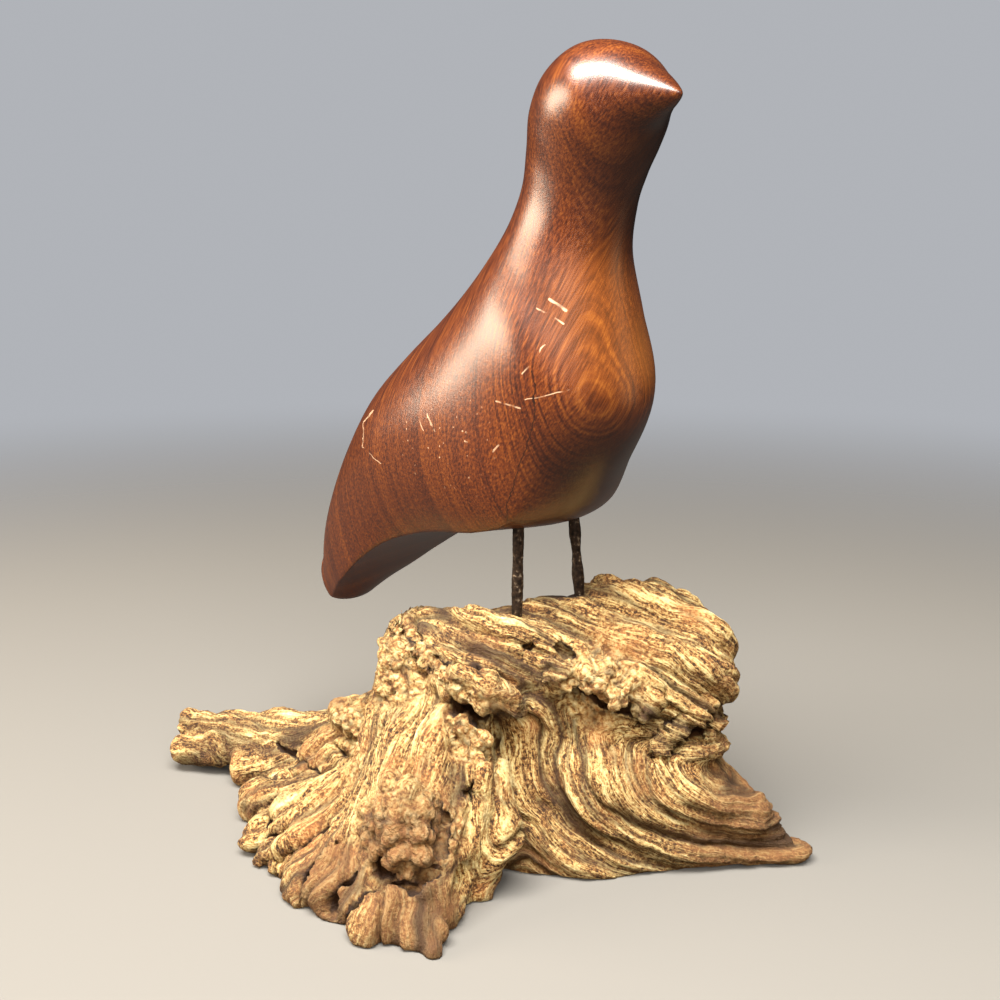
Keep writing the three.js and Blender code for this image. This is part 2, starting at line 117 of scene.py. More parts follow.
# Each cut across the body: where it meets the line of the back (x, z) and the line of the
# breast and belly (x, z), its half width, the half width of its flat underside, where along the
# cut it is widest, and how flat the underside is there.
BIRD_STATIONS = np.array([
    (-103, 79, -97.5, 58.5, 11.5, 9.5, 0.46, 0.5),
    (-97.5, 94, -86, 69, 16.3, 14.8, 0.46, 0.9),
    (-89, 109, -71.5, 80, 20.8, 18.6, 0.46, 1),
    (-77.3, 125.5, -54, 90, 25.2, 20.5, 0.47, 1),
    (-64, 141, -35, 96.4, 29, 21, 0.48, 1),
    (-49, 153.5, -12, 100.3, 31, 21.5, 0.49, 1),
    (-36, 163.5, 7, 104, 31, 21, 0.5, 0.6),
    (-25, 173, 19, 117, 29.3, 20, 0.5, 0.2),
    (-16, 182.5, 30.5, 137, 26.5, 18, 0.5, 0),
    (-9.3, 192.5, 28, 158.5, 20.6, 14.5, 0.5, 0),
    (-5, 203, 24.7, 178, 16.6, 12, 0.5, 0),
    (-3.5, 213, 26.5, 192.5, 16.2, 11.5, 0.5, 0),
    (-1.3, 223.5, 29.2, 201, 17.8, 12.5, 0.5, 0),
    (5.5, 232.7, 31.4, 206.5, 19.2, 13.5, 0.5, 0),
    (16, 238.2, 33, 210.6, 18.3, 13, 0.5, 0),
    (27.5, 236.8, 35, 214.3, 14, 10, 0.5, 0),
    (36.5, 230.8, 39.5, 218, 8, 5.5, 0.5, 0),
])
TAIL_TIP = (-105.5, 65)
BILL_TIP = (46.5, 223)
TAIL_CAP_RINGS = 20
BILL_CAP_RINGS = 16
RINGS_PER_STATION = 9
SIDE_STEPS = 110
UNDERSIDE_STEPS = 50
EDGE_CROWDING = 0.75
EDGE_ROUNDING = 14


def through(values, t):
    """A smooth curve through rows of evenly spaced values, and its value at t of them."""
    last = len(values) - 1
    i = min(max(int(t), 0), last - 1)
    u = t - i
    a, b, c, d = (values[min(max(n, 0), last)] for n in (i - 1, i, i + 1, i + 2))
    slope_b = (c - a) / 2 if i > 0 else c - b
    slope_c = (d - b) / 2 if i + 2 <= last else c - b
    return ((2 * u ** 3 - 3 * u ** 2 + 1) * b + (u ** 3 - 2 * u ** 2 + u) * slope_b
            + (3 * u ** 2 - 2 * u ** 3) * c + (u ** 3 - u ** 2) * slope_c)


def crowded(count):
    """Shares from 0 to 1 that crowd together at both ends, where the lower edge runs."""
    t = np.linspace(0, 1, count + 1)
    return t - EDGE_CROWDING * np.sin(2 * math.pi * t) / (2 * math.pi)


def bird_ring(t):
    """One cut: from the left lower edge over the back to the right one, then underneath."""
    back_x, back_z, front_x, front_z, half, edge, widest, flat = through(BIRD_STATIONS, t)
    flat = min(max(flat, 0), 1)
    back, front = np.array([back_x, back_z]), np.array([front_x, front_z])
    height = np.linalg.norm(back - front)
    up = (back - front) / height
    middle = front + (back - front) * widest
    rise, drop = height * (1 - widest), height * widest
    edge_angle = math.acos(edge / half)
    side_drop = drop + (drop / math.sin(edge_angle) - drop) * flat
    edge_level = side_drop * math.sin(edge_angle)
    over = -edge_angle + (math.pi + 2 * edge_angle) * crowded(SIDE_STEPS)
    under = math.pi - edge_angle + (2 * edge_angle - math.pi) * crowded(UNDERSIDE_STEPS)[1:-1]
    reach = np.where(np.sin(over) > 0, rise, side_drop)
    share = (np.sin(under) - math.sin(edge_angle)) / (1 - math.sin(edge_angle))
    y = np.concatenate([half * np.cos(over), half * np.cos(under)])
    level = np.concatenate([reach * np.sin(over), -edge_level - (drop - edge_level) * share])
    ring = np.stack([middle[0] + up[0] * level, y, middle[1] + up[1] * level], axis=1)
    for _ in range(EDGE_ROUNDING):
        for corner in (0, SIDE_STEPS):
            near = [(corner + n) % len(ring) for n in (-2, -1, 0, 1, 2)]
            average = [(ring[n - 1] + 2 * ring[n] + ring[(n + 1) % len(ring)]) / 4 for n in near]
            ring[near] = average
    return ring


def cap_rings(ring, tip, count, shape):
    """Rings that close one end and shrink to its tip."""
    middle = ring.mean(axis=0)
    pole = np.array([tip[0], 0, tip[1]])
    rings = []
    for j in range(1, count):
        along, width = shape(j / count)
        rings.append((ring - middle) * width + middle + (pole - middle) * along)
    return rings, pole


def round_end(t):
    return math.sin(t * math.pi / 2), math.cos(t * math.pi / 2)


def pointed_end(t):
    return 1 - (1 - t) ** 1.4, (1 - t) ** 1.1


def skin(rings, start_pole, end_pole):
    """Points and faces of a closed skin over rings of points, with a pole at each end."""
    rows, around = len(rings), len(rings[0])
    points = np.concatenate([[start_pole], *rings, [end_pole]])
    faces = []
    last = len(points) - 1
    for i in range(around):
        j = (i + 1) % around
        faces.append((0, 1 + j, 1 + i))
        end = 1 + (rows - 1) * around
        faces.append((last, end + i, end + j))
        for row in range(rows - 1):
            here, there = 1 + row * around, 1 + (row + 1) * around
            faces.append((here + i, here + j, there + j, there + i))
    return points, faces


def bird_skin():
    count = (len(BIRD_STATIONS) - 1) * RINGS_PER_STATION
    rings = [bird_ring(i / RINGS_PER_STATION) for i in range(count + 1)]
    tail, tail_pole = cap_rings(rings[0], TAIL_TIP, TAIL_CAP_RINGS, round_end)
    bill, bill_pole = cap_rings(rings[-1], BILL_TIP, BILL_CAP_RINGS, pointed_end)
    return skin([*tail[::-1], *rings, *bill], tail_pole, bill_pole)


# Leg rods

ROD_RADIUS = 1.65
ROD_SIDES = 28
ROD_STEPS = 90
RODS = {
    "near_leg_rod": {"foot": (-0.9, -13, 66), "top": (0, -13, 109), "knobs": 0.1, "phase": 0.4},
    "far_leg_rod": {"foot": (0.8, 13, 70), "top": (-3.6, 13, 109), "knobs": 0.28, "phase": 2.1},
}
ROD_ROUGHNESS = 0.09


def rod_skin(foot, top, knobs, phase):
    foot, top = np.array(foot, float), np.array(top, float)
    angles = np.arange(ROD_SIDES) * 2 * math.pi / ROD_SIDES
    compass = np.stack([np.cos(angles), np.sin(angles), np.zeros(ROD_SIDES)], axis=1)
    rings = []
    for t in np.linspace(0, 1, ROD_STEPS + 1):
        centre = foot + (top - foot) * t
        swell = knobs * math.sin(t * 17 + phase) * math.sin(t * math.pi)
        ring = centre + compass * (ROD_RADIUS + swell)
        grit = noise(ring, 1.1, 5) + 0.6 * noise(ring, 0.6, 6)
        rings.append(ring + compass * (grit * ROD_ROUGHNESS * math.sin(t * math.pi))[:, None])
    return skin(rings, foot, top)


# Root burl

# Each block is a rounded box: centre, half sizes, corner radius and how far its top leans up
# to the right. Each lobe is a row of balls (x, y, z, radius) joined by tapering rods.
BLOCKS = (
    ((1.5, 7, 40), (49.5, 23, 30), 12, 0.03),
    ((2, 9, 14), (49, 29, 22), 14, 0),
)
LOBES = {
    "crown": ((-13, -5, 63.5, 13), (10, 8, 64, 15), (30, 9, 66, 14.5), (42, 8, 60, 13)),
    "left crown": ((-38, 8, 60, 11), (-24, -2, 61, 12)),
    "right cheek": ((44, 2, 62, 9), (45, 0, 56, 10.5)),
    "buttress": ((-33, -2, 46, 19.5), (-38, -32, 17, 18), (-40, -48, 8, 14)),
    "toe": ((-50, -56, 4, 7), (-44, -50, 6, 11), (-37, -62, 3, 7), (-33.5, -68.5, 1.5, 3.2)),
    "wart mound": ((-38, -41, 22, 12),),
    "drape": ((-22, -26, 34, 8), (-19, -32, 17, 7)),
    "right drape toe": ((-20, -30, 16, 7), (-19, -35, 3, 5.5)),
    "left drape toe": ((-27, -30, 16, 8), (-28, -37, 3, 4.5)),
    "left shoulder": ((-42, 14, 24, 20), (-66, 24, 13, 14.5)),
    "shoulder knob": ((-52, 14, 36, 7), (-62.5, 18, 34, 5)),
    "left foot": ((-48, -12, 13, 20), (-70, -14, 6, 14)),
    "front left lobe": ((-48, -30, 8, 15), (-57, -44, 4, 9)),
    "left lobe": ((-60, -28, 6, 13), (-70, -36, 4, 8)),
    "flap": ((-70, -16, 5, 10), (-82, -18, 2, 5)),
    "finger": ((-70, -2, 11, 6), (-92, -8, 4, 3.2)),
    "knob": ((-72, 12, 9, 9), (-87, 14, 7, 7), (-93, 16, 5, 6.5)),
    "leaf lobe": ((-74, 36, 9, 12), (-98, 46, 6, 7.5)),
    "branch": ((-58, 34, 17.5, 13), (-92, 50, 14.5, 8), (-112, 57, 13, 6.5)),
    "upper prong": ((-108, 56, 15.5, 5), (-125, 61, 15.5, 3.4)),
    "lower prong": ((-108, 54, 9, 5), (-125, 56, 6.5, 3.4)),
    "log": ((-30, -19, 60, 4.5), (-12, -19, 52, 4)),
    "first knuckle": ((2, -14, 61, 6),),
    "second knuckle": ((14, -14, 59, 5.5),),
    "third knuckle": ((23, -14, 54, 5.5),),
    "flare": ((14, -5, 24, 20), (43, -5, 16, 16), (58, -9, 9, 10), (73, -12, 3, 3.8)),
    "foot of the flare": ((-2, -11, 5, 13), (17, -14, 4, 11.5), (48, -8, 3, 10)),
}
HOLLOWS = {
    "notch": ((-12, -38, -4, 5), (-12, -27, 10, 4), (-13, -24, 30, 3)),
    "dark hollow in the mound": ((-48, -55, 16, 5.5), (-44, -46, 17, 3)),
    "hollow under the log": ((-30, -27, 54.5, 3), (-16, -24, 50, 3)),
    "hollow beside the drape": ((-15.5, -26, 46.5, 3.5), (-17, -29, 38, 4)),
    "slit in the flare": ((50, -17, 47, 4), (30, -22, 36, 3)),
    "undercut at the right": ((60, -12, 47, 5), (50, -16, 47, 4)),
    "gap under the mound": ((-24, -56, 10, 5), (-25, -46, 12, 4)),
    "gap beside the finger": ((-92, -2, 4, 3), (-76, 6, 6, 3)),
    "gap under the branch": ((-128, 58, -3, 6), (-92, 44, -4, 6)),
}
# Small forms on the show side, too fine for the solids
KNOBS = {
    "log": ((-28, -23, 60.5, 4), (-19.5, -23.5, 57, 4.6), (-12, -23, 52.5, 3.6)),
    "wart": ((-41, -46, 28, 10), (-40, -49, 22, 8)),
    "first knuckle": ((2.5, -18, 61.5, 5.5),),
    "second knuckle": ((12.5, -19, 61, 5),),
    "third knuckle": ((20, -19, 56, 5),),
    "fourth knuckle": ((27.5, -18, 52, 4.5),),
    "knob by the drape": ((-22, -26, 44, 4.5),),
    "knob above the drape": ((-27, -25, 48.5, 4),),
    "lip of the slit": ((46, -12, 49, 3.5), (38, -16, 44, 3), (32, -18, 39, 2.5)),
    "shoulder warts": ((-64, 12, 37, 3.4), (-58, 8, 36, 4)),
    "corner wart": ((-46, -9, 64, 4.5), (-47, -12, 56, 4)),
}
# Cracks and small hollows run into the wood away from the show side
CRACKS = {
    "under the top left slab": ((-31, -20, 64, 1.2), (-25.5, -21.5, 62.5, 1.6), (-20, -20, 61, 1.1)),
    "under the log": ((-29, -22, 54.5, 1.8), (-22.5, -22, 52.3, 2.2), (-15, -20, 48.5, 1.7)),
    "beside the drape": ((-16, -18, 46.5, 2.8), (-17, -22, 38, 2.8)),
    "hole beside the mound": ((-24, -37, 32, 2.4), (-24.5, -38, 30, 1.6)),
    "left of the fibres": ((-6, -15, 68.5, 1.5), (-8, -15.5, 66, 1.1)),
    "right of the fibres": ((2.5, -16.5, 67.5, 1.6), (6, -16.5, 66, 1.1)),
    "round the knuckles": ((9, -18, 57, 1.1), (15, -17, 52, 1.1), (22, -17, 50.3, 1.4),
                           (26.5, -17, 47.5, 1.1), (26, -17, 44, 0.8)),
    "below the knuckles": ((25, -17, 44, 1), (18, -19.5, 38, 1), (15, -24, 34, 0.7)),
    "slit": ((49, -12, 46.5, 1.8), (41.5, -15.5, 42, 2.4), (36, -17.5, 38, 2.2), (30, -19, 34, 1.2)),
}
# Gaps between the lobes at the left, which run in under the root
GAPS = {
    "under the branch": ((-90, 37, 17, 0.9), (-84, 31, 16, 1.3), (-77, 16, 18, 1.4), (-70, 8, 18, 1)),
    "over the knob": ((-93, 20, 12, 1.2), (-86, 12, 13, 1.3), (-77, 14, 17, 0.9)),
    "beside the knob": ((-84, -10, 11, 1.8), (-83, 4, 10, 2.2), (-78, 6, 13, 1.6)),
    "over the finger": ((-86, -14, 7, 1.4), (-79, -20, 12, 1.8), (-68, -20, 19, 1)),
    "under the finger": ((-86, -21, 2, 2), (-77, -26, 9, 1.8), (-65, -28, 17, 1)),
    "left foot gully": ((-73, -44, 5, 2), (-68, -41, 11, 1.8), (-62, -39, 17, 1)),
    "front gully": ((-64, -53, 4, 1.7), (-61, -50, 9, 1.5), (-56, -48, 13, 1)),
    "toe gully": ((-58, -56, 1, 2), (-54, -58, 9, 1.8), (-48, -54, 13, 1)),
    "under the shoulder": ((-67, 11, 27, 1.4), (-63, 5, 25, 1.6), (-60, -1, 27, 1.1)),
    "under the wart": ((-46, -54, 12, 1.6), (-39, -59, 15, 2), (-34, -57, 19, 1.6)),
    "right of the wart": ((-33, -46, 33, 1.2), (-32, -51, 28, 1.6), (-32, -54, 22, 1.4)),
}
INTO_CRACKS = (0, 1, 0)
INTO_GAPS = (0.6, 0.6, -0.5)
CRACK_DEPTHS = (0, 1.5, 3)
DETAIL_REACH = 8
RAGGED_WIDTH = 3.5
RAGGED = 1.3
KNOB_BLEND = 2
FLARE_EYE = (78, 36)
FLARE_SQUASH = 1.9
FLARE_SPREAD = 0.5
FLARE_START = 2
FAN_EYE = (-22, 14)
FAN_SPREAD = 48
FAN_START = 134
FAN_SINK = 0.2
FAN_RISE = 0.35
SWEEP_SHIFT = -38
SLAB_ACROSS = np.array([0.42, 0.45, 0.79])
SLAB_SPREAD = 2
SLAB_FOOT = 54
FLUTE_PITCH = 13
FLUTE_DEPTH = 1.7
LOBE_BLEND = 7
SMALL_LOBE_BLEND = 0.7
HOLLOW_BLEND = 3
CRACK_BLEND = 1
CELL = 0.9
BLOCK_CELLS = 10
NEAR_BLOCK = 13.5
FILLED = 0.05
SLOPE_STEP = 0.1
SETTLE_PASSES = 2
FIELD_LOW = np.array([-136.0, -84.0, -3.0])
FIELD_HIGH = np.array([86.0, 76.0, 92.0])


def blend(a, b, k):
    """The smaller of two distances, with the corner between them filled over a width of k."""
    h = np.maximum(k - np.abs(a - b), 0) / k
    return np.minimum(a, b) - h * h * k * 0.25


def to_path(p, path):
    """Distance to a row of balls joined by tapering rods."""
    balls = np.array(path, float)
    best = np.linalg.norm(p - balls[0, :3], axis=1) - balls[0, 3]
    for a, b in zip(balls[:-1], balls[1:]):
        step = b[:3] - a[:3]
        t = np.clip((p - a[:3]) @ step / (step @ step), 0, 1)
        gap = np.linalg.norm(p - a[:3] - t[:, None] * step, axis=1)
        best = np.minimum(best, gap - a[3] - (b[3] - a[3]) * t)
    return best


def to_block(p, centre, half, corner, lean):
    q = np.abs(p - centre - np.outer(p[:, 0], (0, 0, lean))) - half + corner
    outside = np.linalg.norm(np.maximum(q, 0), axis=1)
    return outside + np.minimum(q.max(axis=1), 0) - corner


def across_grain(p):
    """How far across the grain a point lies, in millimetres. Equal values are one fibre."""
    x, y, z = p.T
    slab = p @ SLAB_ACROSS
    below = FLARE_SQUASH * np.maximum(FLARE_EYE[1] - z, 0)
    sweep = FLARE_START + FLARE_SPREAD * np.hypot(FLARE_EYE[0] - x, below)
    fan = FAN_START - FAN_SINK * z - FAN_SPREAD * np.abs(np.arctan2(y - FAN_EYE[1], FAN_EYE[0] - x))
    low = 1 - smooth_step(z + 0.25 * x, 42, 58)
    right = slab_share(p)
    return fan + (slab + (sweep - slab) * low - fan) * right


def fibre_lines(p):
    """As across_grain, but spread so that fine lines are evenly spaced all over the root."""
    x, y, z = p.T
    slab = p @ SLAB_ACROSS
    below = FLARE_SQUASH * np.maximum(FLARE_EYE[1] - z, 0)
    sweep = np.hypot(FLARE_EYE[0] - x, below) + SWEEP_SHIFT
    fan = FAN_START + FAN_SPREAD * np.arctan2(y - FAN_EYE[1], FAN_EYE[0] - x)
    fan += FAN_RISE * z * smooth_step(-x, 46, 66)
    low = 1 - smooth_step(z + 0.25 * x, 42, 58)
    return fan + (slab + (sweep - slab) * low - fan) * slab_share(p)


def slab_share(p):
    """0 where the grain fans out at the left, 1 at the right and over the top left corner."""
    return smooth_step(p[:, 0] + SLAB_SPREAD * np.maximum(p[:, 2] - SLAB_FOOT, 0), -24, -6)


def clear_of_the_eye(p):
    """0 at the axis that the fan of the grain turns about, where its lines crowd, and 1 away
    from it."""
    return smooth_step(np.hypot(p[:, 0] - FAN_EYE[0], p[:, 1] - FAN_EYE[1]), 5, 18)


def root_distance(p):
    """Distance to the root's surface without its fine relief, negative inside the wood."""
    d = np.full(len(p), 1e3)
    for block in BLOCKS:
        d = blend(d, to_block(p, *block), LOBE_BLEND)
    for path in LOBES.values():
        thinnest = min(ball[3] for ball in path)
        d = blend(d, to_path(p, path), min(LOBE_BLEND, SMALL_LOBE_BLEND * thinnest))
    phase = across_grain(p) * 2 * math.pi / FLUTE_PITCH
    depth = FLUTE_DEPTH * clear_of_the_eye(p)
    d += depth * (0.6 * np.sin(phase) + 0.4 * np.sin(0.43 * phase))
    for path in HOLLOWS.values():
        d = -blend(-d, to_path(p, path), HOLLOW_BLEND)
    near = np.abs(d) < DETAIL_REACH
    d[near] = with_details(p[near], d[near])
    return np.maximum(d, -p[:, 2])


def close_to(p, path):
    """Which points may be changed by a small form."""
    balls = np.array(path, float)
    middle = balls[:, :3].mean(axis=0)
    reach = np.linalg.norm(balls[:, :3] - middle, axis=1).max() + balls[:, 3].max()
    return np.linalg.norm(p - middle, axis=1) < reach + DETAIL_REACH


def with_details(p, d):
    """The distance once the knobs are added and the cracks and gaps are cut."""
    p = p + RAGGED * np.stack([noise(p, RAGGED_WIDTH, seed) for seed in (51, 52, 53)], axis=1)
    for path in KNOBS.values():
        near = close_to(p, path)
        d[near] = blend(d[near], to_path(p[near], path), KNOB_BLEND)
    for openings, inwards in ((CRACKS, INTO_CRACKS), (GAPS, INTO_GAPS)):
        for path in openings.values():
            near = close_to(p, path)
            for depth in CRACK_DEPTHS:
                gap = to_path(p[near] - depth * np.array(inwards), path)
                d[near] = -blend(-d[near], gap, CRACK_BLEND)
    return d


def sample_field():
    """The distance on a grid of cells, worked out only in the blocks of cells near the skin."""
    side = BLOCK_CELLS * CELL
    blocks = np.ceil((FIELD_HIGH - FIELD_LOW) / side).astype(int)
    corners = np.stack(np.meshgrid(*map(np.arange, blocks), indexing="ij"), axis=-1) * side
    corners = corners.reshape(-1, 3) + FIELD_LOW
    rough = root_distance(corners + (side - CELL) / 2)
    near = np.abs(rough) < NEAR_BLOCK
    values = np.repeat(rough, BLOCK_CELLS ** 3).reshape(-1, BLOCK_CELLS ** 3)
    inner = np.stack(np.meshgrid(*[np.arange(BLOCK_CELLS)] * 3, indexing="ij"), axis=-1) * CELL
    points = corners[near][:, None] + inner.reshape(-1, 3)
    values[near] = root_distance(points.reshape(-1, 3)).reshape(-1, BLOCK_CELLS ** 3)
    values = values.reshape(*blocks, *[BLOCK_CELLS] * 3).transpose(0, 3, 1, 4, 2, 5)
    return values.reshape(blocks * BLOCK_CELLS)


def in_one_piece(code):
    """Whether the filled corners of a cell hang together along its edges, and the empty ones."""
    for wanted in (0, 1):
        left = {c for c in range(8) if (code >> c) & 1 == wanted}
        queue = [left.pop()] if left else []
        while queue:
            corner = queue.pop()
            for bit in (1, 2, 4):
                if corner ^ bit in left:
                    left.remove(corner ^ bit)
                    queue.append(corner ^ bit)
        if left:
            return False
    return True


TORN = np.array([not in_one_piece(code) for code in range(256)])


def corner_values(values, cells):
    return np.stack([values[tuple((cells + corner).T)] for corner in CORNERS], axis=1)


def cell_codes(values):
    inside = values < 0
    x, y, z = values.shape
    return sum(inside[a:x - 1 + a, b:y - 1 + b, c:z - 1 + c].astype(int) << n
               for n, (a, b, c) in enumerate(CORNERS))


def settle_field(values):
    """Where the skin would touch itself inside a cell, fills the empty corner nearest to it."""
    torn = np.argwhere(TORN[cell_codes(values)])
    while len(torn):
        here = corner_values(values, torn)
        nearest = np.where(here < 0, np.inf, here).argmin(axis=1)
        values[tuple((torn + CORNERS[nearest]).T)] = -FILLED
        torn = np.argwhere(TORN[cell_codes(values)])


def slope_at(p, value):
    step = np.eye(3) * SLOPE_STEP
    return np.stack([root_distance(p + s) - value for s in step], axis=1) / SLOPE_STEP


def root_skin():
    """Points, faces and outward directions: one point in each cell that the skin crosses."""
    values = sample_field()
    settle_field(values)
    codes = cell_codes(values)
    cells = np.argwhere((codes > 0) & (codes < 255))
    corner = corner_values(values, cells)
    total, crossings = np.zeros((len(cells), 3)), np.zeros(len(cells))
    for c in range(8):
        for axis in range(3):
            if not CORNERS[c][axis]:
                a, b = corner[:, c], corner[:, c | 1 << axis]
                crossed = (a < 0) != (b < 0)
                t = np.where(crossed, a / np.where(crossed, a - b, 1), 0)
                total[crossed] += (CORNERS[c] + np.outer(t, np.eye(3)[axis]))[crossed]
                crossings += crossed
    points = FIELD_LOW + (cells + total / crossings[:, None]) * CELL
    for _ in range(SETTLE_PASSES):
        value = root_distance(points)
        slope = slope_at(points, value)
        steep = np.maximum((slope ** 2).sum(axis=1), 0.25)
        points -= slope * np.clip(value / steep, -CELL / 4, CELL / 4)[:, None]
    slope = slope_at(points, root_distance(points))
    outward = slope / np.linalg.norm(slope, axis=1)[:, None]
    return points, skin_faces(values, cells), outward


def skin_faces(values, cells):
    """One four-sided face for each edge of the grid that the skin crosses."""
    number = np.full(values.shape, -1)
    number[tuple(cells.T)] = np.arange(len(cells))
    inside = values < 0
    faces = []
    for axis in range(3):
        unit = np.eye(3, dtype=int)
        crossed = inside != np.roll(inside, -1, axis=axis)
        at = np.argwhere(crossed)
        at = at[(at > 0).all(axis=1) & (at < np.array(values.shape) - 1).all(axis=1)]
        u, v = unit[(axis + 1) % 3], unit[(axis + 2) % 3]
        ring = np.stack([number[tuple((at - a * u - b * v).T)]
                         for a, b in ((0, 0), (1, 0), (1, 1), (0, 1))], axis=1)
        empty = ~inside[tuple(at.T)]
        ring[empty] = ring[empty][:, ::-1]
        faces.append(ring)
    return np.concatenate(faces)


# Fine relief of the root: rope-like ridges along the grain, and round lumps where it is burl
BURLS = {
    "wart mound": (-41, -47, 25, 15),
    "beside the log": (-23, -26, 44, 10),
    "knuckles": (15, -18, 57, 14),
    "top left corner": (-44, -12, 58, 12),
    "left end of the trunk": (-60, 8, 34, 10),
    "shoulder": (-52, -16, 30, 9),
}
# Pitch, length and depth of each size of furrow
FURROWS = ((7.5, 50, 3.2), (3.4, 28, 3.1), (2.0, 14, 1.3))
FURROW_SHARP = 0.8
FURROW_DARK = ((0.05, 0.27), (0.04, 0.24), (0.02, 0.19))
FURROW_FLOOR = 0.28
FURROW_SLANT = (1, 0.37, 0.21)
FAN_FURROW = (11, 40, 2.0)
WANDERS = ((17, 2.4), (5, 0.7))
LUMP_WIDTH = 6.0
LUMP_DEPTH = 2.3
SMALL_LUMP_WIDTH = 2.8
SMALL_LUMP_DEPTH = 0.9
CREASES = ((9, 2.2), (4.5, 1.6), (2.4, 1.0))
HEARTWOOD = ((4, 8, 78), 9)
# Painted shade: low parts near the floor that face down or forward, darkened in the root's colour.
LOW_PAINTED_SHADE = {
    "wart": ((-41, -49, 23), 15),
    "toe": ((-38, -62, 4), 17),
    "tip of the flare": ((62, -12, 8), 26),
    "front of the left foot": ((-60, -44, 5), 16),
}
OPEN_REACH = (3.5, 7)


def near_ball(p, centre, radius):
    """1 inside the middle of a ball, falling smoothly to 0 a little outside it."""
    gap = np.linalg.norm(p - np.array(centre), axis=1)
    return 1 - smooth_step(gap, 0.6 * radius, 1.25 * radius)


def burl_share(p):
    share = np.zeros(len(p))
    for x, y, z, radius in BURLS.values():
        share = np.maximum(share, near_ball(p, (x, y, z), radius))
    share = np.clip(share + 0.35 * noise(p, 13, 40) * (share > 0), 0, 1)
    seam = 4 * slab_share(p) * (1 - slab_share(p)) * smooth_step(p[:, 2], 50, 60)
    return np.maximum(share, seam)


def furrows(p, across, pitch, length, seed):
    """Sharp furrows that follow the grain: 0 in a furrow and up to 1 between two of them."""
    strung = p / length + np.outer(across / pitch, FURROW_SLANT)
    return np.abs(noise(strung, 1, seed)) ** FURROW_SHARP


def crevices(p, across, burl):
    """1 at the bottom of the furrows and of the gaps between lumps, 0 away from them."""
    dark = np.zeros(len(p))
    for n, ((pitch, length, _), (low, high)) in enumerate(zip(FURROWS, FURROW_DARK)):
        depth = 1 - smooth_step(furrows(p, across, pitch, length, 21 + n), low, high)
        dark = np.maximum(dark, depth * (1 - 0.2 * n))
    gaps = 1 - smooth_step(lumps(p, LUMP_WIDTH, 31), 0.06, 0.5)
    small_gaps = 1 - smooth_step(lumps(p, SMALL_LUMP_WIDTH, 35), 0.04, 0.42)
    knobby = np.maximum(gaps, 0.7 * small_gaps)
    return dark * (1 - burl) + knobby * burl


def root_relief(p, across, burl):
    """How far the weathered skin stands above the plain form, in millimetres."""
    flowing = sum(depth * (furrows(p, across, pitch, length, 21 + n) - FURROW_FLOOR)
                  for n, (pitch, length, depth) in enumerate(FURROWS))
    pitch, length, depth = FAN_FURROW
    fanned = smooth_step(-p[:, 0], 44, 62)
    flowing += fanned * depth * (furrows(p, across, pitch, length, 27) - FURROW_FLOOR)
    knobby = (LUMP_DEPTH * (lumps(p, LUMP_WIDTH, 31) - 0.6)
              + SMALL_LUMP_DEPTH * (lumps(p, SMALL_LUMP_WIDTH, 35) - 0.6))
    creased = sum(depth * (np.abs(noise(p, width, 24)) - 0.3) for width, depth in CREASES)
    flowing = flowing * (0.35 + 0.65 * clear_of_the_eye(p))
    return flowing * (1 - 0.75 * burl) + knobby * burl + creased * (0.35 + 0.65 * burl)


# Meshes
def make_piece(name, points, faces, slot, node, attributes=()):
    """A smooth piece in the frame of the part that stands for one node of it."""
    mesh = bpy.data.meshes.new(name)
    mesh.from_pydata(to_part(points).tolist(), [], np.asarray(faces).tolist()
                     if isinstance(faces, np.ndarray) else faces)
    for title, values in dict(attributes).items():
        layer = mesh.attributes.new(title, "FLOAT", "POINT")
        layer.data.foreach_set("value", np.asarray(values, np.float32))
    mesh.shade_smooth()
    mesh.validate()
    piece = bpy.data.objects.new(name, mesh)
    bpy.context.scene.collection.objects.link(piece)
    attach(piece, "root")
    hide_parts(node)
    return piece


bird = make_piece("polished_bird", *bird_skin(), "polished_wood", "bird")
rods = [make_piece(name.replace("leg_rod", "leg"), *rod_skin(**rod), "dark_rod", name)
        for name, rod in RODS.items()]

points, faces, outward = root_skin()
burl = burl_share(points)
wandering = fibre_lines(points) + sum(sway * noise(points, width, 20)
                                      for width, sway in WANDERS)
heartwood = near_ball(points, *HEARTWOOD)
relief = root_relief(points, wandering, burl) * (1 - 0.85 * heartwood)
relief *= smooth_step(points[:, 2], -0.2, 1.5)
# Dark furrows and gaps between lumps: partly dirt and partly painted shade.
dark_lines = crevices(points, wandering, burl) * (1 - heartwood)
# How open each point is to the outside, used to paint shade into the hollows.
openness = np.min([root_distance(points + outward * reach) / reach for reach in OPEN_REACH],
                  axis=0)
weathered = points + outward * relief[:, None]
weathered[:, 2] = np.maximum(weathered[:, 2], 0)
root = make_piece("weathered_root", from_show(weathered), faces, "weathered_root", "root_base", {
    "across": wandering,
    "burl": burl,
    "crevice": dark_lines,
    "openness": openness,
    "heartwood": heartwood,
    "low_painted_shade": np.max([near_ball(points, *place) for place in LOW_PAINTED_SHADE.values()], axis=0),
})


# Materials
def colour(code):
    """An sRGB hex value as the linear colour that a shader takes."""
    parts = [int(code[n:n + 2], 16) / 255 for n in (1, 3, 5)]
    linear = [c / 12.92 if c <= 0.04045 else ((c + 0.055) / 1.055) ** 2.4 for c in parts]
    return (*linear, 1)


def add(tree, kind, links=None, **settings):
    """A node with its settings. A link goes to a socket by name or number, from another socket
    or from a plain value."""
    node = tree.nodes.new(kind)
    for key, value in settings.items():
        setattr(node, key, value)
    for key, value in (links or {}).items():
        socket = node.inputs[key]
        if isinstance(value, bpy.types.NodeSocket):
            tree.links.new(value, socket)
        else:
            socket.default_value = value
    return node


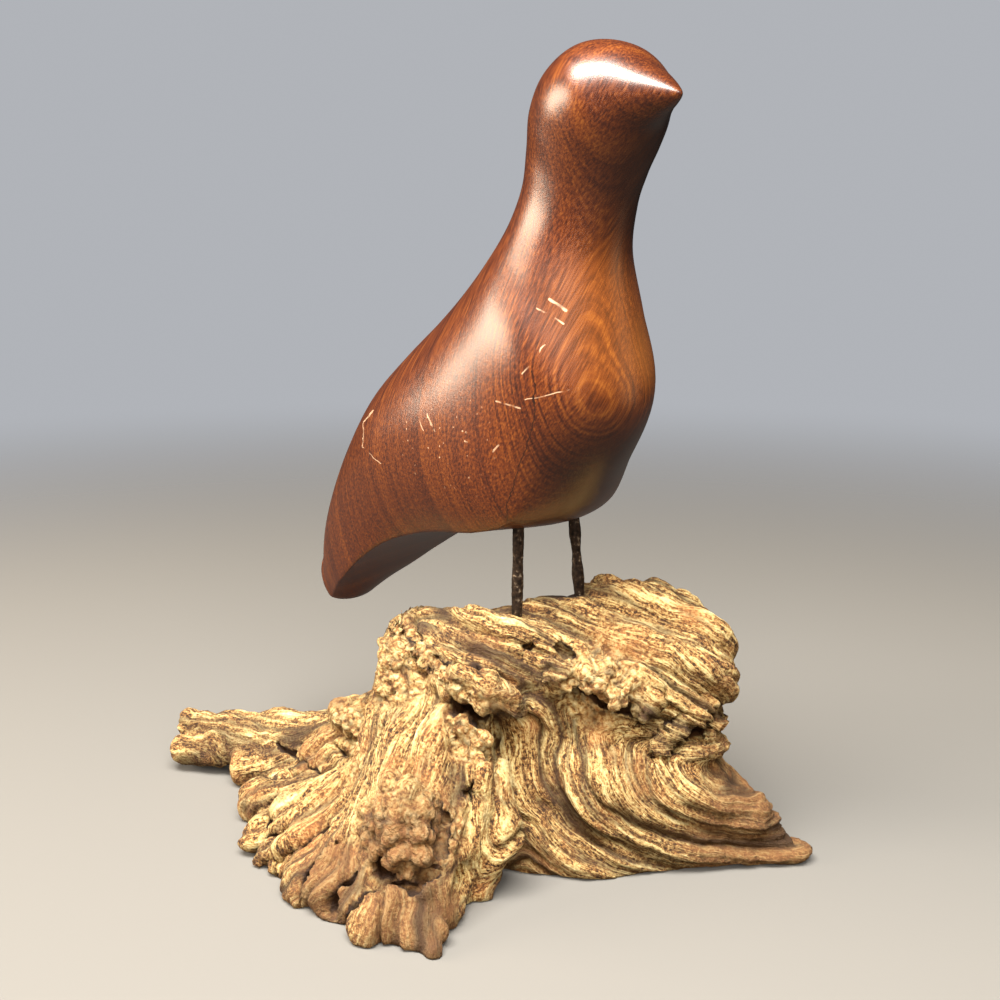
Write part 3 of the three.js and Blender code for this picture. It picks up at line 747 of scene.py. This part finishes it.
def ramp(tree, factor, *stops):
    node = add(tree, "ShaderNodeValToRGB", {"Fac": factor})
    while len(node.color_ramp.elements) < len(stops):
        node.color_ramp.elements.new(0.5)
    for element, (place, code) in zip(node.color_ramp.elements, stops):
        element.position, element.color = place, colour(code)
    return node.outputs["Color"]


def new_material(name):
    material = bpy.data.materials.new(name)
    material.use_nodes = True
    tree = material.node_tree
    tree.nodes.clear()
    return material, tree


def finish_material(tree, surface):
    add(tree, "ShaderNodeOutputMaterial", {"Surface": surface.outputs["BSDF"]})


def dress(piece, material):
    piece.data.materials.clear()
    piece.data.materials.append(material)


# Desert ironwood, sanded fine, oiled and buffed: dense and dark, so the gloss lies on the wood
# itself, and the growth layers show as fine lines that turn into ovals where the carving cuts
# them flat. Handling has left scratches in the polish.
LAYER_FACING = (0.36, -0.93, 0.06)
LAYER_PITCH = 0.8
WIDE_LAYER_PITCH = 6
OVALS = ((12, -27, 147), 42)
DRIFT_WIDTH = 45
DRIFT = 5
GRAIN_ALONG = (0.48, 0.24, 0.84)
GRAIN_STRETCH = 30
FIBRE_PITCH = 0.55
# Painted light: golden patches where light falls on the breast, above and right of the ovals, mixed
# into the wood's colour.
PAINTED_LIGHT_PATCHES = {
    "above the ovals": ((18, -20, 164), 32, 0.18),
    "right of the ovals": ((30, -10, 154), 17, 0.3),
}
# Painted shade and painted dark reflection: the lower breast and the throat, darkened in the wood's
# colour.
PAINTED_SHADE_PATCHES = {
    "lower breast": ((18, -24, 116), 38, 0.85),
    "throat": ((27, -14, 204), 38, 0.9),
}
# Each scratch runs between two points on the show side: x to the right, then height
SCRATCHES = {
    "top of the hooked scratch": ((-54, 133), (-57.5, 128.5), 0.35),
    "middle of the hooked scratch": ((-57.5, 128.5), (-57.5, 121.5), 0.35),
    "foot of the hooked scratch": ((-57.5, 121.5), (-51, 118), 0.3),
    "scratch near the back": ((-36, 136), (-34, 131.5), 0.4),
    "scratch beside it": ((-39, 134.5), (-37, 131), 0.3),
    "long scratch on the breast": ((-7.5, 143), (3.5, 146), 0.28),
    "short scratch behind it": ((-16, 142), (-9.5, 140.5), 0.5),
    "pale rub on the breast": ((-5, 167.5), (2.5, 163.5), 0.5),
    "rub above it": ((-1.5, 170), (3, 167), 0.8),
    "slanting rub": ((-3, 158), (-9, 150), 0.4),
    "nick in the flank": ((-17, 127.5), (-15.5, 129.5), 0.5),
}
# The thin crack below the breast, from its top to the underside
CRACK = ((-6, 151), (-5.5, 139.5), (-8, 128.5), (-11.5, 118), (-13.5, 106.5))
CRACK_WIDTH = 0.28
SCUFFED = ((-30, -8, 131), 24)


def buffed_ironwood():
    material, tree = new_material("buffed_desert_ironwood")
    place = add(tree, "ShaderNodeTexCoord").outputs["Object"]

    def along(direction, start=0.0):
        """How far a point lies along a direction of the show side, in millimetres."""
        facing = from_show(np.array(direction, float))
        node = add(tree, "ShaderNodeVectorMath", {0: place, 1: tuple(facing / MM)},
                   operation="DOT_PRODUCT")
        shift = float(FOOTPRINT_MIDDLE @ facing) - start
        return math_node("ADD", node.outputs["Value"], shift)

    def math_node(operation, a, b, c=0.0, clamp=False):
        node = add(tree, "ShaderNodeMath", {0: a, 1: b, 2: c}, operation=operation,
                   use_clamp=clamp)
        return node.outputs["Value"]

    def stroke(start, end, width):
        """1 on a thin straight mark between two points of the show side."""
        start, end = np.array((*start, 0.0)), np.array((*end, 0.0))
        step = end - start
        from_start = add(tree, "ShaderNodeVectorMath", {0: flat, 1: tuple(start)},
                         operation="SUBTRACT").outputs["Vector"]
        t = add(tree, "ShaderNodeVectorMath", {0: from_start, 1: tuple(step / (step @ step))},
                operation="DOT_PRODUCT").outputs["Value"]
        t = math_node("ADD", t, 0.0, clamp=True)
        gap = add(tree, "ShaderNodeVectorMath", {0: tuple(-step), 1: t, 2: from_start},
                  operation="MULTIPLY_ADD").outputs["Vector"]
        gap = add(tree, "ShaderNodeVectorMath", {0: gap}, operation="LENGTH").outputs["Value"]
        return add(tree, "ShaderNodeMapRange", {"Value": gap, "From Min": 0.25 * width,
                                                "From Max": 0.6 * width, "To Min": 1.0,
                                                "To Max": 0.0}).outputs["Result"]

    def near(centre, radius):
        """1 at the middle of a ball of the show side, falling to 0 at its skin."""
        middle = to_part(from_show(centre))
        gap = add(tree, "ShaderNodeVectorMath", {0: place, 1: tuple(middle)},
                  operation="DISTANCE").outputs["Value"]
        return add(tree, "ShaderNodeMapRange", {"Value": gap, "From Min": 0.3 * radius * MM,
                                                "From Max": radius * MM, "To Min": 1.0,
                                                "To Max": 0.0},
                   interpolation_type="SMOOTHSTEP").outputs["Result"]

    def mixed(factor, a, b):
        return add(tree, "ShaderNodeMix", {0: factor, 6: a, 7: b}, data_type="RGBA").outputs[2]

    depth = along(LAYER_FACING)
    drift = add(tree, "ShaderNodeTexNoise", {"Vector": place, "Scale": 1 / (DRIFT_WIDTH * MM),
                                             "Detail": 1}, noise_dimensions="3D").outputs["Fac"]
    layer = math_node("MULTIPLY_ADD", drift, DRIFT, depth)
    wide = add(tree, "ShaderNodeTexNoise", {"W": layer, "Scale": 1 / WIDE_LAYER_PITCH, "Detail": 1},
               noise_dimensions="1D").outputs["Fac"]
    fine = add(tree, "ShaderNodeTexNoise", {"W": layer, "Scale": 1 / LAYER_PITCH, "Detail": 4,
                                            "Roughness": 0.6}, noise_dimensions="1D").outputs["Fac"]
    grain = tuple(from_show(GRAIN_ALONG))
    run = add(tree, "ShaderNodeVectorMath", {0: place, 1: grain},
              operation="DOT_PRODUCT").outputs["Value"]
    run = add(tree, "ShaderNodeVectorMath", {0: grain, "Scale": math_node("MULTIPLY", run,
                                             1 / GRAIN_STRETCH - 1)}, operation="SCALE")
    strung = add(tree, "ShaderNodeVectorMath", {0: place, 1: run.outputs["Vector"]},
                 operation="ADD").outputs["Vector"]
    fibre = add(tree, "ShaderNodeTexNoise", {"Vector": strung, "Scale": 1 / (FIBRE_PITCH * MM),
                                             "Detail": 3, "Roughness": 0.6},
                noise_dimensions="3D").outputs["Fac"]
    bold = math_node("MULTIPLY_ADD", near(*OVALS), 0.2, 0.16)
    figure = math_node("MULTIPLY", math_node("SUBTRACT", fine, 0.5), bold)
    figure = math_node("MULTIPLY_ADD", math_node("SUBTRACT", wide, 0.5), 0.16, figure)
    figure = math_node("MULTIPLY_ADD", fibre, 0.4, math_node("ADD", figure, 0.31))
    wood = ramp(tree, figure, (0.36, "#1c0a04"), (0.46, "#3b1608"), (0.54, "#5c2a0c"),
                (0.66, "#834a18"))
    # Painted light and painted shade: golden lit patches and dark shaded patches mixed into the wood's
    # colour.
    for patches, tint in ((PAINTED_LIGHT_PATCHES, "#945a25"), (PAINTED_SHADE_PATCHES, "#1a0803")):
        for centre, radius, amount in patches.values():
            share = math_node("MULTIPLY", near(centre, radius), amount)
            wood = mixed(share, wood, colour(tint))

    rough = add(tree, "ShaderNodeTexNoise", {"Vector": place, "Scale": 1 / (0.5 * MM),
                                             "Detail": 2}, noise_dimensions="3D").outputs["Fac"]
    uneven = add(tree, "ShaderNodeTexNoise", {"Vector": place, "Scale": 1 / (5 * MM),
                                              "Detail": 3}, noise_dimensions="3D").outputs["Fac"]
    wobble = math_node("MULTIPLY_ADD", uneven, 3.0, -1.5)
    flat = add(tree, "ShaderNodeCombineXYZ", {
        "X": math_node("ADD", along((1, 0, 0)), wobble),
        "Y": along((0, 0, 1))}).outputs["Vector"]
    pale = 0.0
    for start, end, width in SCRATCHES.values():
        pale = math_node("MAXIMUM", pale, stroke(start, end, width))
    flecks = add(tree, "ShaderNodeTexVoronoi", {"Vector": place, "Scale": 1 / (2.4 * MM)},
                 feature="F1").outputs["Distance"]
    flecks = add(tree, "ShaderNodeMapRange", {"Value": flecks, "From Min": 0.10, "From Max": 0.16,
                                              "To Min": 1.0, "To Max": 0.0}).outputs["Result"]
    broken = math_node("GREATER_THAN", fibre, 0.52)
    scuffs = math_node("MULTIPLY", math_node("MULTIPLY", flecks, near(*SCUFFED)), broken)
    broken = add(tree, "ShaderNodeMapRange", {"Value": uneven, "From Min": 0.4, "From Max": 0.55})
    pale = math_node("MULTIPLY", pale, broken.outputs["Result"])
    pale = math_node("MULTIPLY", math_node("MAXIMUM", pale, scuffs), 0.6)
    near_side = math_node("LESS_THAN", along((0, 1, 0)), 30)
    pale = math_node("MULTIPLY", pale, near_side)
    crack = 0.0
    for start, end in zip(CRACK[:-1], CRACK[1:]):
        crack = math_node("MAXIMUM", crack, stroke(start, end, CRACK_WIDTH))
    crack = math_node("MULTIPLY", crack, near_side)
    wood = mixed(pale, wood, colour("#dcb894"))
    wood = mixed(crack, wood, colour("#1d0b05"))
    dulled = math_node("MULTIPLY_ADD", pale, 0.3, math_node("MULTIPLY_ADD", fibre, 0.14, 0.28))
    height = math_node("MULTIPLY_ADD", fibre, 0.5, rough)
    bump = add(tree, "ShaderNodeBump", {"Height": height, "Strength": 1.0, "Distance": 0.03 * MM})
    surface = add(tree, "ShaderNodeBsdfPrincipled", {
        "Base Color": wood, "Roughness": dulled, "IOR": 1.5, "Coat Weight": 0.7,
        "Coat Roughness": 0.3, "Coat IOR": 1.5, "Normal": bump.outputs["Normal"],
        "Coat Normal": bump.outputs["Normal"]})
    finish_material(tree, surface)
    return material


# Mild steel rod, blackened: dull dark skin with a few pale rubbed specks.
def blackened_steel():
    material, tree = new_material("blackened_steel_rod")
    place = add(tree, "ShaderNodeTexCoord").outputs["Object"]
    grit = add(tree, "ShaderNodeTexNoise", {"Vector": place, "Scale": 1 / (1.2 * MM), "Detail": 4},
               noise_dimensions="3D").outputs["Fac"]
    skin_colour = ramp(tree, grit, (0.35, "#17110d"), (0.6, "#3a2c22"), (0.72, "#8a7a66"))
    surface = add(tree, "ShaderNodeBsdfPrincipled", {
        "Base Color": skin_colour, "Roughness": 0.5, "Metallic": 0.6})
    finish_material(tree, surface)
    return material


# Weathered root wood, bare: the soft wood has worn away between the hard fibres and the ridges are
# bleached to straw. The furrows and the low parts of the fine relief are coloured dark, partly as dirt
# and partly as painted shade that the bump alone doesn't cast.
def weathered_wood():
    material, tree = new_material("weathered_root_wood")
    place = add(tree, "ShaderNodeTexCoord").outputs["Object"]

    def painted(title):
        return add(tree, "ShaderNodeAttribute", attribute_name=title).outputs["Fac"]

    def mixed(factor, a, b):
        node = add(tree, "ShaderNodeMix", {0: factor, 6: a, 7: b}, data_type="RGBA")
        return node.outputs[2]

    def scaled(value, factor, plus=0.0):
        node = add(tree, "ShaderNodeMath", {0: value, 1: factor, 2: plus},
                   operation="MULTIPLY_ADD")
        return node.outputs["Value"]

    def total(a, b):
        return add(tree, "ShaderNodeMath", {0: a, 1: b}, operation="ADD").outputs["Value"]

    def strings(length, pitch, detail):
        slow = add(tree, "ShaderNodeVectorMath", {0: place, "Scale": 1 / (length * MM)},
                   operation="SCALE").outputs["Vector"]
        node = add(tree, "ShaderNodeTexNoise", {
            "Vector": slow, "W": scaled(painted("across"), 1 / pitch), "Scale": 1,
            "Detail": detail, "Roughness": 0.7}, noise_dimensions="4D")
        return node.outputs["Fac"]

    def valley(value):
        """Twice the distance from the middle grey: 0 along thin winding lines."""
        return add(tree, "ShaderNodeMath", {0: scaled(value, 4, -2.0)},
                   operation="ABSOLUTE").outputs["Value"]

    ridge = valley(strings(22, 1.8, 4))
    fibre = valley(strings(9, 0.8, 4))
    cells = add(tree, "ShaderNodeTexVoronoi", {"Vector": place, "Scale": 1 / (2.2 * MM)},
                feature="F1").outputs["Distance"]
    knob = scaled(cells, -1.3, 1.0)
    grit = add(tree, "ShaderNodeTexNoise", {"Vector": place, "Scale": 1 / (0.9 * MM),
                                            "Detail": 4, "Roughness": 0.7},
               noise_dimensions="3D").outputs["Fac"]
    pits = valley(add(tree, "ShaderNodeTexNoise", {"Vector": place, "Scale": 1 / (2.6 * MM),
                                                   "Detail": 2}, noise_dimensions="3D").outputs["Fac"])
    flowing = total(scaled(ridge, 0.6), scaled(fibre, 0.4))
    knobby = total(scaled(knob, 0.5), scaled(pits, 0.5))
    figure = add(tree, "ShaderNodeMix", {0: painted("burl"), 2: flowing, 3: knobby},
                 data_type="FLOAT").outputs[0]
    height = total(figure, total(scaled(grit, 1.0, -0.5), scaled(pits, 0.12)))
    # Dark where the fine relief is low: partly dirt in the fibres and partly painted shade that the
    # bump alone doesn't cast.
    tone = ramp(tree, height, (0.05, "#2e1a09"), (0.15, "#82562a"), (0.32, "#b69a62"),
                (0.7, "#e0cd99"))
    stain = add(tree, "ShaderNodeTexNoise", {"Vector": place, "Scale": 1 / (16 * MM), "Detail": 3},
                noise_dimensions="3D").outputs["Fac"]
    stain = add(tree, "ShaderNodeMapRange", {"Value": stain, "From Min": 0.52,
                                             "From Max": 0.7, "To Max": 0.5}).outputs["Result"]
    tone = mixed(stain, tone, colour("#a0683a"))
    tone = mixed(scaled(painted("burl"), 0.4), tone, colour("#8a5f33"))
    # Painted shade on the low parts near the floor.
    tone = mixed(scaled(painted("low_painted_shade"), 0.75), tone, colour("#6f4a2a"))
    # Partly dirt and partly painted shade at the bottom of the furrows and the gaps between lumps.
    furrowed = mixed(scaled(painted("crevice"), 0.9), tone, colour("#33200f"))
    # Painted shade in the hollows that open little to the outside.
    shade = add(tree, "ShaderNodeMapRange", {"Value": painted("openness"), "From Min": -0.05,
                                             "From Max": 0.3}).outputs["Result"]
    hollowed = mixed(shade, colour("#2f1b0c"), furrowed)
    bare = mixed(painted("heartwood"), hollowed, colour("#2b1a12"))
    bump = add(tree, "ShaderNodeBump", {"Height": height, "Strength": 1.0, "Distance": 1.0 * MM})
    surface = add(tree, "ShaderNodeBsdfPrincipled", {
        "Base Color": bare, "Roughness": 0.8, "Normal": bump.outputs["Normal"]})
    finish_material(tree, surface)
    return material


dress(bird, buffed_ironwood())
steel = blackened_steel()
for rod in rods:
    dress(rod, steel)
dress(root, weathered_wood())


# Stage: a pale floor, soft lights and the camera at the photograph's angle
FLOOR_COLOUR = "#6c6a67"
FLOOR_GLOW = "#2c2b2a"
FLOOR_REACH = 4
FLOOR_CLEAR = 0.3
FLOOR_GONE = 1.0
CAMERA_AT = (-15, -404, 195)
CAMERA_DOWN = 12
CAMERA_LENS = 50
LIGHT_CENTRE = (0, 0, 120)
LIGHTS = {
    # azimuth to the right of the show side, height above the horizon, distance, width, depth, watts
    "window": (-84, 17, 900, 700, 340, 11.5, "#ffecd2"),
    "ceiling": (-18, 64, 900, 900, 400, 42, "#fffaf0"),
    "fill": (4, 20, 900, 700, 700, 15, "#fffaf2"),
    "rim": (88, 6, 800, 340, 340, 0.35, "#ffd9ae"),
}
SKY_COLOUR = "#c9ccd2"
SKY_SEEN = 0.75
SKY_LIGHT = 0.06

mesh = bpy.data.meshes.new("floor")
reach = FLOOR_REACH
mesh.from_pydata([(-reach, -reach, 0), (reach, -reach, 0), (reach, reach, 0), (-reach, reach, 0)],
                 [], [(0, 1, 2, 3)])
floor = bpy.data.objects.new("floor", mesh)
bpy.context.scene.collection.objects.link(floor)
material, tree = new_material("floor_paper")
place = add(tree, "ShaderNodeTexCoord").outputs["Object"]
away = add(tree, "ShaderNodeVectorMath", {0: place}, operation="LENGTH").outputs["Value"]
gone = add(tree, "ShaderNodeMapRange", {"Value": away, "From Min": FLOOR_CLEAR,
                                        "From Max": FLOOR_GONE}, interpolation_type="SMOOTHSTEP")
seen = add(tree, "ShaderNodeLightPath").outputs["Is Camera Ray"]
gone = add(tree, "ShaderNodeMath", {0: gone.outputs["Result"], 1: seen}, operation="MULTIPLY")
shown = add(tree, "ShaderNodeMix", {0: seen, 6: colour(FLOOR_GLOW), 7: colour(FLOOR_COLOUR)},
            data_type="RGBA").outputs[2]
paper = add(tree, "ShaderNodeBsdfPrincipled", {"Base Color": shown, "Roughness": 0.9})
clear = add(tree, "ShaderNodeBsdfTransparent")
faded = add(tree, "ShaderNodeMixShader", {0: gone.outputs["Value"], 1: paper.outputs["BSDF"],
                                          2: clear.outputs["BSDF"]})
add(tree, "ShaderNodeOutputMaterial", {"Surface": faded.outputs["Shader"]})
dress(floor, material)


def aim(thing, target):
    direction = target - thing.location
    thing.rotation_mode = "QUATERNION"
    thing.rotation_quaternion = direction.to_track_quat("-Z", "Y")


from mathutils import Vector

centre = Vector(to_part(from_show(LIGHT_CENTRE)))
for name, (azimuth, height, distance, width, depth, watts, tint) in LIGHTS.items():
    a, h = math.radians(azimuth), math.radians(height)
    away = np.array([math.sin(a) * math.cos(h), -math.cos(a) * math.cos(h), math.sin(h)])
    data = bpy.data.lights.new(name, "AREA")
    data.shape, data.size, data.size_y = "RECTANGLE", width * MM, depth * MM
    data.energy, data.color = watts, colour(tint)[:3]
    light = bpy.data.objects.new(name, data)
    bpy.context.scene.collection.objects.link(light)
    light.location = Vector(to_part(from_show(np.array(LIGHT_CENTRE) + away * distance)))
    aim(light, centre)
    light.visible_glossy = name != "fill"

world = bpy.data.worlds.new("studio")
world.use_nodes = True
sky = world.node_tree
background = sky.nodes["Background"]
background.inputs["Color"].default_value = colour(SKY_COLOUR)
seen = add(sky, "ShaderNodeLightPath").outputs["Is Camera Ray"]
strength = add(sky, "ShaderNodeMapRange", {"Value": seen, "To Min": SKY_LIGHT, "To Max": SKY_SEEN})
sky.links.new(strength.outputs["Result"], background.inputs["Strength"])
bpy.context.scene.world = world

camera_data = bpy.data.cameras.new("camera")
camera_data.lens = CAMERA_LENS
camera = bpy.data.objects.new("camera", camera_data)
bpy.context.scene.collection.objects.link(camera)
camera.location = Vector(to_part(from_show(CAMERA_AT)))
camera.rotation_euler = (math.radians(90 - CAMERA_DOWN), 0, SHOW_TURN)
camera_data.clip_start, camera_data.clip_end = 0.01, 20
bpy.context.scene.camera = camera
bpy.context.scene.view_settings.view_transform = "Standard"
